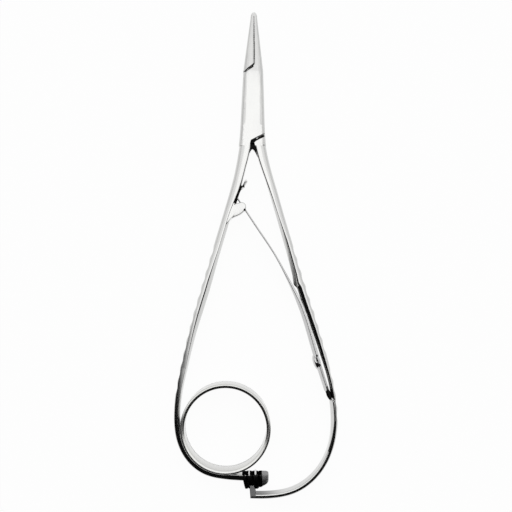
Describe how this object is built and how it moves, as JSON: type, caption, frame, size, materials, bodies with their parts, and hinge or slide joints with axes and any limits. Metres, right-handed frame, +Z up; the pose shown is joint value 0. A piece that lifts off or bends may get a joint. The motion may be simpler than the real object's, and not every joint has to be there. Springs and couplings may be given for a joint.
{
  "type": "needle holder",
  "caption": "Steel needle holder with box-lock jaws, ridged grips, a crossing leaf spring, a finger ring brazed to one handle and a rack that locks the handles shut.",
  "frame": {"origin": "centre of the outline seen from above, on the surface that the ring's rim lies on", "axes": "+Y along the tool towards the jaw tips, +X to the right arm with the pawl, +Z up, across the thickness"},
  "size_m": [0.047, 0.1395, 0.0065],
  "materials": {
    "forged_steel": "satin",
    "ring_steel": "polished",
    "spring_steel": "satin",
    "screw_steel": "polished"
  },
  "bodies": {
    "female": {"female_half": "forged_steel", "box_pin": "forged_steel", "finger_ring": "ring_steel"},
    "male": {"male_half": "forged_steel", "leaf_spring": "spring_steel", "spring_screw": "screw_steel"}
  },
  "joints": [
    {"name": "box_lock", "type": "hinge", "parent": "female", "child": "male", "pos_m": [-0.0009, 0.0435, 0.00325], "axis": [0, 0, 1], "range_deg": [0, 18], "deforming": ["leaf_spring"]}
  ]
}
